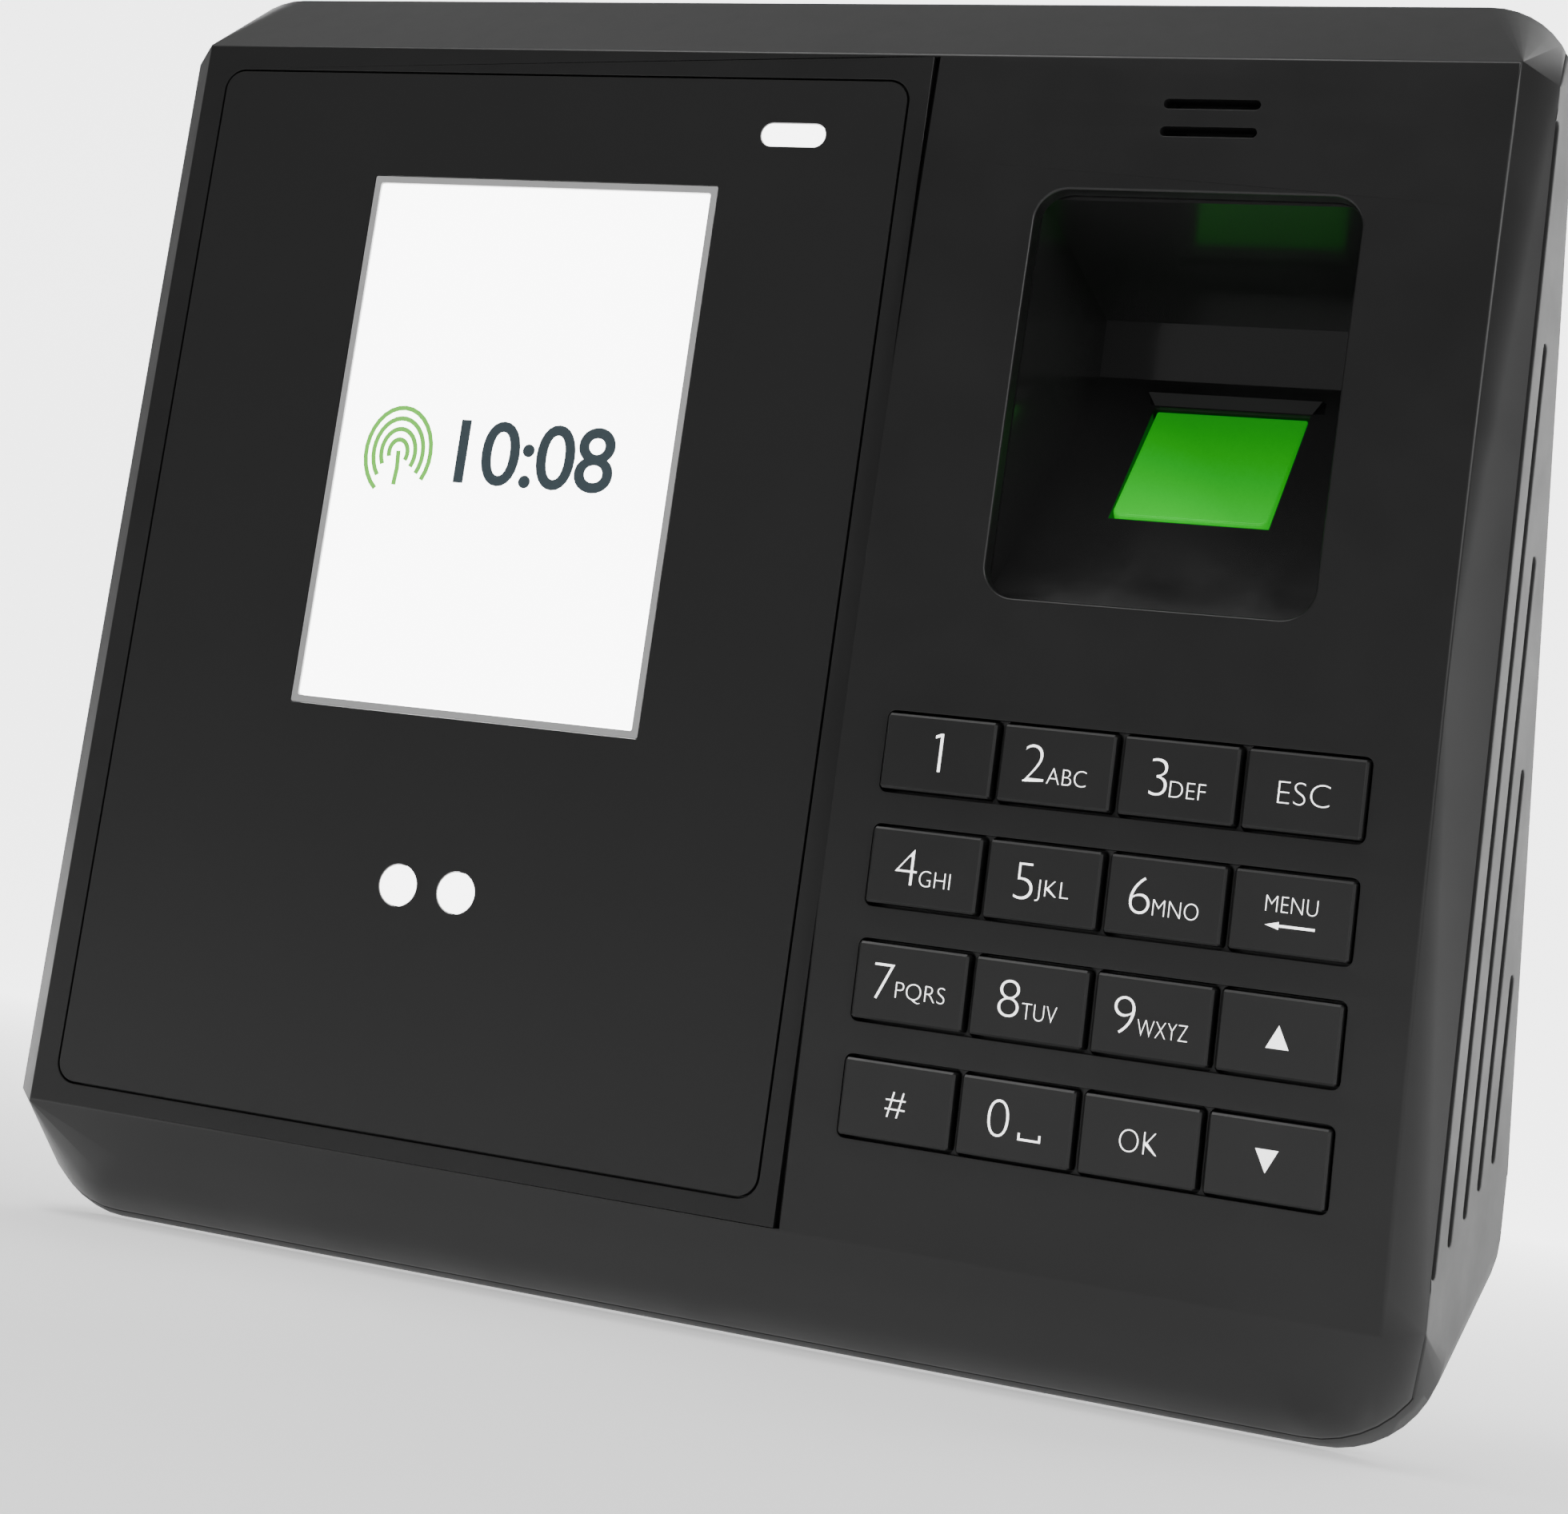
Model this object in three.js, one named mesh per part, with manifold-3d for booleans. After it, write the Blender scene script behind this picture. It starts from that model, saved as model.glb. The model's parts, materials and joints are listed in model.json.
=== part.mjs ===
// Wall terminal with a fingerprint sensor, a face camera pair, a screen and a keypad.
//
// Frame: millimetres, +Z up, +X to the right of a person facing the terminal, who looks along +Y.
// The wall is the plane y = 0. The origin is on the wall bracket's back face, on the centre line.
import * as THREE from 'three';
import { ConvexGeometry } from 'three/addons/geometries/ConvexGeometry.js';
import { mergeVertices } from 'three/addons/utils/BufferGeometryUtils.js';
import Module from 'manifold-3d';

const wasm = await Module();
wasm.setup();

// ---------------------------------------------------------------- driving dimensions
const GAP = 0.3; // clearance between two pieces that touch in the real terminal

// Outer body. The front face is parallel to the wall.
const FACE_Y = -30.2; // plane of the left panel
const FACE_HALF = 78.1;
const FACE_TOP = 61.5;
const FACE_BOTTOM = -66.2;
const SHOULDER_Y = -26.3; // outer edge of the side bevels, where the two shells meet
const SHOULDER_HALF = 81.8;
const SIDE_FLARE = 0.0748; // the sides widen by this much per millimetre of depth
const SHOULDER_TOP = 60.2;
const SHOULDER_BOTTOM = -65.3;
const RIM_Y = -19.7; // back edge of the top bevel
const RIM_TOP = 71.0;
const RIM_RADIUS = 9.8;
const CHIN_Y = -17.3; // lowest edge of the chin
const CHIN_BOTTOM = -78.4;
const CHIN_RADIUS = 11.5;
const CHIN_EASE = 4.0; // the chin's corners are this much rounder next to the face
const CHIN_PULL_Y = -25.2; // the chin's curve bulges towards this corner
const CHIN_PULL_Z = -77.4;
const CHIN_STEPS = 8; // flat strips in the chin's curve
const CORNER_STEPS = 10; // and in each round corner
const BACK_BOTTOM = -67.3;
const BACK_TOP = 53.5;
const BACK_TOP_HALF = 71.0;
const BACK_SIDE_TOP = -49.5; // where the wedge of each side wall meets the wall plane
const WALL = 2.2;
const PART_GAP_SHIFT = 0.2; // the parting line runs this far in front of the rim's edge
const CHIN_PART_SHIFT = 3.2;

// The right panel stands proud of the left one, is crowned from top to bottom, and rises to the right.
const PANEL = { x0: 16.0, x1: 78.5, rise0: 1.9, rise1: 3.6 };
const GROOVE_X = 15.3; // a dark groove parts the two panels, from here to the right panel's edge
const DIVIDER_DEPTH = 1.5;

// Screen side
const WINDOW = { x: -31.0, z: -2.55, w: 87.6, h: 121.6, r: 2.3, t: 1.0 };
const SCREEN = { x: -30.17, z: 14.4, w: 43.9, h: 62.6, border: 0.8 };
const LIGHT = { x: -0.1, z: 51.9, w: 7.6, h: 2.56 };
const EYES = [{ name: 'left', x: -34.62 }, { name: 'right', x: -27.31 }];
const EYE_Z = -36.1;
const EYE_RADIUS = 2.29;

// Sensor bay in the right panel
const BAY = { x0: 29.5, x1: 64.6, z0: 1.8, z1: 46.3, r: 3.4 };
const BAY_BACK = { y: -5.6, x0: 30.9, x1: 62.5, z0: 31.8, z1: 38.4 };
const BAY_WALL = 1.3;
const MOUTH_CLEAR = 4; // the bay's space is cut from this far in front of the panel
const SENSOR = { x: 47.35, y: -14.85, z: 20.5, w: 16.9, l: 19.0, t: 2.4, r: 1.1 };
const SENSOR_LEAN = -41.6 * Math.PI / 180; // the sensor slopes down towards the front

// Loudspeaker slots
const SLOT_X = 47.1;
const SLOT_ROWS = [56.2, 53.1];
const SLOT_W = 10.4;
const SLOT_H = 1.1;

// Keypad
const KEY = { w: 12.1, h: 7.9, proud: 0.7, edge: 0.25 };
const KEY_X = [27.35, 40.2, 53.1, 65.95];
const KEY_Z = [-15.4, -27.35, -39.3, -51.3];
const KEY_NAMES = [
  ['key_1', 'key_2', 'key_3', 'key_esc'],
  ['key_4', 'key_5', 'key_6', 'key_menu'],
  ['key_7', 'key_8', 'key_9', 'key_up'],
  ['key_hash', 'key_0', 'key_ok', 'key_down'],
];
const KEY_HOLE_GAP = 0.25;
const KEY_HOLE_EXTRA = 0.2; // more room above and below, because the keys are tilted in their holes
const KEY_ROW_SINK = 0.6; // the webs between keys lie this far below the face
const KEY_FLANGE = 1.1; // how far a key's retaining flange reaches above and below its cap
const PAD_X = (KEY_X[0] + KEY_X[3]) / 2;
const PAD_Z = (KEY_Z[0] + KEY_Z[3]) / 2;
const PAD_DEPTH = 6.2; // the keypad's mat lies this far behind the face
const PAD = { w: 56, h: 48 };

// Grooves in each side wall: depth from the wall, bottom end, top end
const GROOVES = [
  [-25.4, -60.2, 56.7],
  [-20.7, -57.0, 34.4],
  [-15.9, -54.2, 13.1],
  [-11.4, -51.3, -8.4],
  [-6.8, -48.4, -29.2],
];
const GROOVE_W = 1.3;
const GROOVE_DEPTH = 1.0;

// Back of the case
const BRACKET = { w: 110, z0: -60, z1: 36, t: 1.2, pocket: 1.6 };
const BRACKET_TABS = [[-20, 28], [20, 28]];
const BRACKET_SLOTS = [[-42, 24], [42, 24], [-46, -28], [44, -28]];
const PORT = { x: -4, z: -28, w: 62, h: 24 }; // cable opening in the back wall and bracket
const BACK_WALL = 3.6;
const BOARD = { x0: -56, x1: 24, z0: -60, z1: 40, y: -18.4, t: 1.6 };
const BOARD_BACK = BOARD.y + BOARD.t + GAP; // the sockets stand on the board from here
const CASE_SCREWS = [[-64, -52], [62, -62], [-62, 44], [20, 49]];
const USB = { x: 20, y: -13.5, w: 13.4, t: 6.0, z: -73.6, l: 13 };
const TAMPER = { x: -34, z: 22 };
const LOCK_Y = -5.4;
const LOCK_HEAD_Z = -68.4;

// ---------------------------------------------------------------- shape helpers
function solid(geometry) {
  geometry.deleteAttribute('normal');
  geometry.deleteAttribute('uv');
  const merged = mergeVertices(geometry, 1e-4);
  return new wasm.Manifold(new wasm.Mesh({
    numProp: 3,
    vertProperties: new Float32Array(merged.attributes.position.array),
    triVerts: new Uint32Array(merged.index.array),
  }));
}

function geometryOf(manifold) {
  const mesh = manifold.getMesh();
  const geometry = new THREE.BufferGeometry();
  geometry.setAttribute('position', new THREE.BufferAttribute(new Float32Array(mesh.vertProperties), 3));
  geometry.setIndex(new THREE.BufferAttribute(new Uint32Array(mesh.triVerts), 1));
  geometry.computeVertexNormals();
  return geometry;
}

function box(x0, x1, y0, y1, z0, z1) {
  const geometry = new THREE.BoxGeometry(x1 - x0, y1 - y0, z1 - z0);
  return solid(geometry.translate((x0 + x1) / 2, (y0 + y1) / 2, (z0 + z1) / 2));
}

// A shape drawn in the X-Z plane, pushed along +Y from y0 to y1.
function plate(shape, y0, y1, segments = 6) {
  const geometry = new THREE.ExtrudeGeometry(shape, {
    depth: y1 - y0, bevelEnabled: false, curveSegments: segments,
  });
  return solid(geometry.rotateX(Math.PI / 2).translate(0, y1, 0));
}

// A list of [y, z] points pushed along +X from x0 to x1.
function sideProfile(points, x0, x1) {
  const shape = new THREE.Shape(points.map(([y, z]) => new THREE.Vector2(y, z)));
  const geometry = new THREE.ExtrudeGeometry(shape, { depth: x1 - x0, bevelEnabled: false });
  const turn = new THREE.Matrix4().set(0, 0, 1, x0, 1, 0, 0, 0, 0, 1, 0, 0, 0, 0, 0, 1);
  return solid(geometry.applyMatrix4(turn));
}

// A list of [x, y] points pushed along +Z from z0 to z1.
function planProfile(points, z0, z1) {
  const shape = new THREE.Shape(points.map(([x, y]) => new THREE.Vector2(x, y)));
  const geometry = new THREE.ExtrudeGeometry(shape, { depth: z1 - z0, bevelEnabled: false });
  return solid(geometry.translate(0, 0, z0));
}

function roundedRect(x0, x1, z0, z1, r) {
  const shape = new THREE.Shape();
  shape.moveTo(x0 + r, z0);
  shape.lineTo(x1 - r, z0);
  shape.absarc(x1 - r, z0 + r, r, -Math.PI / 2, 0);
  shape.lineTo(x1, z1 - r);
  shape.absarc(x1 - r, z1 - r, r, 0, Math.PI / 2);
  shape.lineTo(x0 + r, z1);
  shape.absarc(x0 + r, z1 - r, r, Math.PI / 2, Math.PI);
  shape.lineTo(x0, z0 + r);
  shape.absarc(x0 + r, z0 + r, r, Math.PI, Math.PI * 1.5);
  return shape;
}

function centred(x, z, w, h, r) {
  return roundedRect(x - w / 2, x + w / 2, z - h / 2, z + h / 2, r);
}

// A rod along Y.
function rod(x, z, radius, y0, y1, sides = 16) {
  const geometry = new THREE.CylinderGeometry(radius, radius, y1 - y0, sides);
  return solid(geometry.translate(x, (y0 + y1) / 2, z));
}

function hull(points) {
  return solid(new ConvexGeometry(points.map(([x, y, z]) => new THREE.Vector3(x, y, z))));
}

// A solid between a ring of [y, z] points in the plane x0 and a ring of as many in the plane x1.
function loft(x0, ring0, x1, ring1) {
  const count = ring0.length;
  const corners = [...ring0.map(([y, z]) => [x0, y, z]), ...ring1.map(([y, z]) => [x1, y, z])];
  const outline = ring0.map(([y, z]) => new THREE.Vector2(y, z));
  const faces = [];
  for (const [a, b, c] of THREE.ShapeUtils.triangulateShape(outline, [])) {
    faces.push(a, c, b, count + a, count + b, count + c);
  }
  for (let i = 0; i < count; i += 1) {
    const j = (i + 1) % count;
    faces.push(i, j, count + j, i, count + j, count + i);
  }
  const geometry = new THREE.BufferGeometry();
  geometry.setAttribute('position', new THREE.Float32BufferAttribute(corners.flat(), 3));
  geometry.setIndex(faces);
  return solid(geometry);
}

function union(parts) {
  return parts.reduce((sum, part) => sum.add(part));
}

function cut(body, tools) {
  return tools.reduce((rest, tool) => rest.subtract(tool), body);
}

// ---------------------------------------------------------------- outer body
// Arc points of the two upper or two lower corners of an outline at depth y.
function cornerArcs(y, half, zEdge, radius, up) {
  const points = [];
  for (let i = 0; i <= CORNER_STEPS; i += 1) {
    const angle = (i / CORNER_STEPS) * Math.PI / 2;
    const x = half - radius + radius * Math.sin(angle);
    const z = zEdge - up * radius * (1 - Math.cos(angle));
    points.push([x, y, z], [-x, y, z]);
  }
  return points;
}

function halfWidthAt(y) {
  if (y < SHOULDER_Y) {
    return FACE_HALF + (SHOULDER_HALF - FACE_HALF) * (y - FACE_Y) / (SHOULDER_Y - FACE_Y);
  }
  return SHOULDER_HALF + SIDE_FLARE * (y - SHOULDER_Y);
}

function chinPoint(t) {
  const a = (1 - t) * (1 - t);
  const b = 2 * t * (1 - t);
  const c = t * t;
  return [a * FACE_Y + b * CHIN_PULL_Y + c * CHIN_Y, a * FACE_BOTTOM + b * CHIN_PULL_Z + c * CHIN_BOTTOM];
}

function outerPoints() {
  const points = [];
  for (const side of [-1, 1]) {
    const edge = side < 0 ? -FACE_HALF : PANEL.x1;
    points.push([edge, FACE_Y, FACE_TOP], [edge, FACE_Y, FACE_BOTTOM]);
    points.push([side * SHOULDER_HALF, SHOULDER_Y, SHOULDER_TOP]);
    points.push([side * SHOULDER_HALF, SHOULDER_Y, SHOULDER_BOTTOM]);
    points.push([side * halfWidthAt(0), 0, BACK_SIDE_TOP]);
  }
  for (let i = 1; i <= CHIN_STEPS; i += 1) {
    const t = i / CHIN_STEPS;
    const [y, z] = chinPoint(t);
    points.push(...cornerArcs(y, halfWidthAt(y), z, CHIN_RADIUS + CHIN_EASE * (1 - t), -1));
  }
  points.push(...cornerArcs(RIM_Y, halfWidthAt(RIM_Y), RIM_TOP, RIM_RADIUS, 1));
  points.push(...cornerArcs(0, halfWidthAt(0), BACK_BOTTOM, CHIN_RADIUS, -1));
  points.push(...cornerArcs(0, BACK_TOP_HALF, BACK_TOP, RIM_RADIUS, 1));
  return points;
}

// Depth of the right panel's face. Its top and bottom edges lie in the left panel's plane.
function panelDepth(x, z) {
  const rise = PANEL.rise0 + (PANEL.rise1 - PANEL.rise0) * (x - PANEL.x0) / (PANEL.x1 - PANEL.x0);
  const u = (2 * z - FACE_TOP - FACE_BOTTOM) / (FACE_TOP - FACE_BOTTOM);
  return FACE_Y - rise * (1 - u * u);
}

// The direction straight into the right panel.
function panelNormal(x, z) {
  const dx = (panelDepth(x + 1, z) - panelDepth(x - 1, z)) / 2;
  const dz = (panelDepth(x, z + 1) - panelDepth(x, z - 1)) / 2;
  return new THREE.Vector3(-dx, 1, -dz).normalize();
}

// Rising [y, z] points at a depth behind the right panel's face.
function panelLine(x, z0, z1, depth, steps) {
  const points = [];
  for (let i = 0; i <= steps; i += 1) {
    const z = z0 + (z1 - z0) * i / steps;
    points.push([panelDepth(x, z) + depth, z]);
  }
  return points;
}

// A block between the plane y and the right panel's face, or a surface at a depth behind it.
function panelBlock(x0, x1, z0, z1, depth, y, steps = 12) {
  const ring = (x) => {
    const line = panelLine(x, z0, z1, depth, steps);
    return y > FACE_Y ? [...line.reverse(), [y, z0], [y, z1]] : [...line, [y, z1], [y, z0]];
  };
  return loft(x0, ring(x0), x1, ring(x1));
}

// A curved sheet between two depths behind the right panel's face.
function panelSheet(x0, x1, z0, z1, depth0, depth1, steps = 8) {
  const ring = (x) => [
    ...panelLine(x, z0, z1, depth1, steps),
    ...panelLine(x, z0, z1, depth0, steps).reverse(),
  ];
  return loft(x0, ring(x0), x1, ring(x1));
}

// The parting line of the two shells, seen from the side, as [y, z] points.
function partingLine(offset) {
  const chin = CHIN_Y - CHIN_PART_SHIFT + offset;
  const rim = RIM_Y - PART_GAP_SHIFT + offset;
  return [
    [chin, -100],
    [chin, -72.0],
    [SHOULDER_Y + offset, SHOULDER_BOTTOM],
    [SHOULDER_Y + offset, SHOULDER_TOP],
    [rim, 66.0],
    [rim, 100],
  ];
}

function frontRegion() {
  return sideProfile([...partingLine(0), [-60, 100], [-60, -100]], -120, 120);
}

function rearRegion() {
  return sideProfile([...partingLine(GAP), [30, 100], [30, -100]], -120, 120);
}

const outerBody = hull(outerPoints());

// ---------------------------------------------------------------- front shell
function bodyWithPanel() {
  const face = panelBlock(PANEL.x0, PANEL.x1, FACE_BOTTOM, FACE_TOP, 0, -28, 32);
  const crease = panelLine(PANEL.x1, FACE_BOTTOM, FACE_TOP, 0, 32).map(([y, z]) => [PANEL.x1, y, z]);
  const bevel = hull([
    ...crease, [PANEL.x1 - 4, -28, FACE_TOP], [PANEL.x1 - 4, -28, FACE_BOTTOM],
    [SHOULDER_HALF, SHOULDER_Y, SHOULDER_TOP], [SHOULDER_HALF, SHOULDER_Y, SHOULDER_BOTTOM],
  ]);
  const groove = panelBlock(GROOVE_X, PANEL.x0, FACE_BOTTOM + 0.3, FACE_TOP - 0.3, DIVIDER_DEPTH, -45, 16);
  return union([outerBody, face, bevel]).subtract(groove);
}

function keyHole(x, z) {
  const w = KEY.w + 2 * KEY_HOLE_GAP;
  const h = KEY.h + 2 * KEY_HOLE_GAP + KEY_HOLE_EXTRA;
  return plate(centred(x, z, w, h, 0.8), -45, -20, 2);
}

function keyRowSink(z) {
  const w = KEY_X[3] - KEY_X[0] + KEY.w + 2 * KEY_HOLE_GAP;
  const h = KEY.h + 2 * KEY_HOLE_GAP + KEY_HOLE_EXTRA;
  const front = panelBlock(PAD_X - w, PAD_X + w, z - h, z + h, KEY_ROW_SINK, -45, 4);
  return plate(centred(PAD_X, z, w, h, 0.8), -45, -20, 2).intersect(front);
}

function frontCavities() {
  const room = box(-76, 75.5, -27.4, 0, -63.5, 59);
  const behindPanel = panelBlock(PANEL.x0 + 1.6, 75.5, -63.5, 59, WALL, -27.3);
  const chinRoom = hull([
    [-70, -27.2, -62], [70, -27.2, -62], [-70, -26.2, -70.0], [70, -26.2, -70.0],
    [-69, -20, -75.6], [69, -20, -75.6], [-69, 0, -75.6], [69, 0, -75.6], [-70, 0, -62], [70, 0, -62],
  ]);
  const topRoom = hull([
    [-74, -27, 57], [74, -27, 57], [-74, -27, 61.0], [74, -27, 61.0],
    [-71, -18, 68.3], [71, -18, 68.3], [-71, -18, 57], [71, -18, 57],
  ]);
  return [room, behindPanel, chinRoom, topRoom];
}

function screwBosses() {
  return CASE_SCREWS.map(([x, z]) => rod(x, z, 3.4, -28.2, -9.0));
}

function frontShell() {
  const openings = [
    plate(centred(WINDOW.x, WINDOW.z, WINDOW.w + 0.5, WINDOW.h + 0.5, WINDOW.r + 0.25), -40, FACE_Y + 1.3),
    plate(centred(SCREEN.x, SCREEN.z, SCREEN.w + 0.8, SCREEN.h + 0.8, 0.5), -40, 0, 1),
    plate(centred(LIGHT.x, LIGHT.z, LIGHT.w + 1.6, LIGHT.h + 1.6, 1.2), -40, 0, 3),
    plate(centred((EYES[0].x + EYES[1].x) / 2, EYE_Z, 14.6, 7.4, 3.0), -40, 0, 3),
    plate(roundedRect(BAY.x0, BAY.x1, BAY.z0, BAY.z1, BAY.r), -40, 0, 5),
    ...SLOT_ROWS.map((z) => plate(centred(SLOT_X, z, SLOT_W, SLOT_H, SLOT_H / 2 - 0.01), -40, -20, 3)),
    ...KEY_Z.map(keyRowSink),
    ...KEY_Z.flatMap((z) => KEY_X.map((x) => keyHole(x, z))),
  ];
  const hollow = cut(bodyWithPanel().intersect(frontRegion()), frontCavities());
  const bored = CASE_SCREWS.map(([x, z]) => rod(x, z, 1.3, -25.5, 0, 10));
  return cut(union([hollow, ...screwBosses()]), [...openings, ...bored]);
}

// ---------------------------------------------------------------- rear shell
function rearCavity() {
  const points = [];
  for (const side of [-1, 1]) {
    points.push([side * 79.2, -40, -62], [side * 79.2, -40, 58]);
    points.push([side * 79.4, -22, -63.5], [side * 79.4, -22, 58]);
    points.push([side * 73, -18, 66.4], [side * 71, -18, -75.2], [side * 71, -40, -75.2]);
    points.push([side * 80.4, -BACK_WALL, -51], [side * 72, -BACK_WALL, -65.5]);
    points.push([side * 69, -BACK_WALL, 46], [side * 64, -BACK_WALL, 52.5], [side * 73, -40, 66.4]);
  }
  return hull(points);
}

// The outline of the USB socket, grown by a gap, from z0 up to z1.
function usbBlock(gap, z0, z1) {
  const w = USB.w / 2 + gap;
  const t = USB.t / 2 + gap;
  return box(USB.x - w, USB.x + w, USB.y - t, USB.y + t, z0, z1);
}

// A groove with round ends, in the side wall at depth y, from z0 up to z1.
function groove(side, y, z0, z1) {
  const wall = SHOULDER_HALF + SIDE_FLARE * (y - SHOULDER_Y);
  const r = GROOVE_W / 2;
  const x0 = side < 0 ? -wall - 3 : wall - GROOVE_DEPTH;
  const x1 = x0 + 3 + GROOVE_DEPTH;
  const ends = [z0 + r, z1 - r].map((z) => (
    solid(new THREE.CylinderGeometry(r, r, x1 - x0, 12).rotateZ(Math.PI / 2).translate((x0 + x1) / 2, y, z))
  ));
  return union([box(x0, x1, y - r, y + r, z0 + r, z1 - r), ...ends]);
}

function grooveTools() {
  return GROOVES.flatMap(([y, z0, z1]) => [-1, 1].map((side) => groove(side, y, z0, z1)));
}

function boardPosts() {
  const xs = [BOARD.x0 + 4, BOARD.x1 - 12];
  const zs = [BOARD.z0 + 4, BOARD.z1 - 4];
  return xs.flatMap((x) => zs.map((z) => [x, z]));
}

function rearShell() {
  const half = BRACKET.w / 2 + GAP;
  const outline = roundedRect(-half, half, BRACKET.z0 - GAP, BRACKET.z1 + GAP, 3.3);
  const pocket = plate(outline, -BRACKET.pocket, 10, 3);
  const cable = plate(centred(PORT.x, PORT.z, PORT.w, PORT.h, 2), -10, 10, 3);
  const posts = boardPosts().map(([x, z]) => rod(x, z, 3.2, BOARD_BACK, -2.5, 14));
  const postBores = boardPosts().map(([x, z]) => rod(x, z, 1.3, -30, -6, 10));
  const wells = CASE_SCREWS.map(([x, z]) => rod(x, z, 4.6, -8.7, -2.5));
  const wellBores = CASE_SCREWS.map(([x, z]) => rod(x, z, 3.1, -4.9, 10));
  const screwHoles = CASE_SCREWS.map(([x, z]) => rod(x, z, 1.5, -20, 10, 10));
  const tabs = BRACKET_TABS.map(([x, z]) => box(x - 5.3, x + 5.3, -10, 10, z - 1.2, z + 4.2));
  const tamper = rod(TAMPER.x, TAMPER.z, 2.1, -10, 10, 14);
  const lug = box(-6.5, 6.5, -10, 0, BRACKET.z0 - GAP, BRACKET.z0 + 1.6);
  const lockHole = box(-1.7, 1.7, LOCK_Y - 1.7, LOCK_Y + 1.7, -90, -60);
  const lockWell = box(-3, 3, LOCK_Y - 3, LOCK_Y + 3, -90, LOCK_HEAD_Z);
  const usb = usbBlock(0.4, -90, -60);
  const shell = cut(outerBody.intersect(rearRegion()), [rearCavity(), ...grooveTools()]);
  const body = union([shell, ...posts, ...wells]);
  const holes = [...postBores, ...wellBores, ...screwHoles, ...tabs];
  return cut(body, [pocket, cable, lug, lockHole, lockWell, ...holes, tamper, usb]);
}

// ---------------------------------------------------------------- screen side pieces
function faceWindow() {
  const sheet = plate(centred(WINDOW.x, WINDOW.z, WINDOW.w, WINDOW.h, WINDOW.r), FACE_Y, FACE_Y + WINDOW.t);
  const holes = [
    plate(centred(SCREEN.x, SCREEN.z, SCREEN.w + 0.2, SCREEN.h + 0.2, 0.3), -40, 0, 1),
    plate(centred(LIGHT.x, LIGHT.z, LIGHT.w + 0.2, LIGHT.h + 0.2, LIGHT.h / 2 + 0.09), -40, 0, 8),
    ...EYES.map((eye) => rod(eye.x, EYE_Z, EYE_RADIUS + 0.1, -40, 0, 32)),
  ];
  return cut(sheet, holes);
}

function lcdFrame() {
  const outer = plate(centred(SCREEN.x, SCREEN.z, SCREEN.w, SCREEN.h, 0.2), FACE_Y, FACE_Y + 3.4, 1);
  const w = SCREEN.w - 2 * SCREEN.border;
  const h = SCREEN.h - 2 * SCREEN.border;
  return outer.subtract(plate(centred(SCREEN.x, SCREEN.z, w, h, 0.2), -40, 0, 1));
}

function lcdModule() {
  const w = SCREEN.w - 2 * SCREEN.border - 0.2;
  const h = SCREEN.h - 2 * SCREEN.border - 0.2;
  const { x, z } = SCREEN;
  const glass = plate(centred(x, z, w, h, 0.2), FACE_Y + 0.1, FACE_Y + 4, 1);
  const body = box(x - 24.5, x + 24.5, FACE_Y + 3.7, FACE_Y + 6.2, z - 36, z + 34);
  return glass.add(body);
}

function statusLight() {
  const { x, z, w, h } = LIGHT;
  const lens = plate(centred(x, z, w, h, h / 2 - 0.01), FACE_Y, FACE_Y + 2.6, 8);
  const foot = plate(centred(x, z, w + 3.4, h + 3.4, 1.5), FACE_Y + 3.1, FACE_Y + 4.0, 3);
  const neck = box(x - 2.5, x + 2.5, FACE_Y + 2, FACE_Y + 3.5, z - 0.9, z + 0.9);
  return union([lens, neck, foot]);
}

function cameraWindow(x) {
  return rod(x, EYE_Z, EYE_RADIUS, FACE_Y, FACE_Y + 1.0, 32);
}

function cameraModule(x) {
  const barrel = rod(x, EYE_Z, 2.7, FACE_Y + 1.3, FACE_Y + 5.0, 20);
  const base = box(x - 3.4, x + 3.4, FACE_Y + 3.2, FACE_Y + 6.0, EYE_Z - 3.6, EYE_Z + 3.6);
  return barrel.add(base);
}

function cameraBoard() {
  return box(-43, -19, FACE_Y + 6.3, FACE_Y + 7.3, EYE_Z - 7, EYE_Z + 7);
}

// ---------------------------------------------------------------- sensor bay
// The bay's space, or with grow its outer skin: a mouth behind the front panel, a ramp, a ceiling
// and a back wall. The mouth follows the crown of the panel.
function bayRoom(grow, mouthGap) {
  const between = (y, a, b) => a + (b - a) * (y - FACE_Y) / (BAY_BACK.y - FACE_Y);
  const back = BAY_BACK.y + grow;
  const points = [];
  for (const [front, rear, out] of [[BAY.x0, BAY_BACK.x0, -grow], [BAY.x1, BAY_BACK.x1, grow]]) {
    const low = panelDepth(front, BAY.z0) + mouthGap;
    const high = panelDepth(front, BAY.z1) + mouthGap;
    points.push([between(low, front, rear) + out, low, between(low, BAY.z0, BAY_BACK.z0) - grow * 1.4]);
    points.push([between(high, front, rear) + out, high, between(high, BAY.z1, BAY_BACK.z1) + grow]);
    points.push([rear + out, back, BAY_BACK.z0 - grow * 0.9], [rear + out, back, BAY_BACK.z1 + grow]);
  }
  return hull(points);
}

// A box lying on the sensor's slope: w along X, l up the slope, from depth d0 to d1 below it.
function slopedBox(w, l, d0, d1) {
  const geometry = new THREE.BoxGeometry(w, d1 - d0, l);
  geometry.translate(0, (d0 + d1) / 2, 0);
  geometry.rotateX(SENSOR_LEAN);
  return solid(geometry.translate(SENSOR.x, SENSOR.y, SENSOR.z));
}

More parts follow.
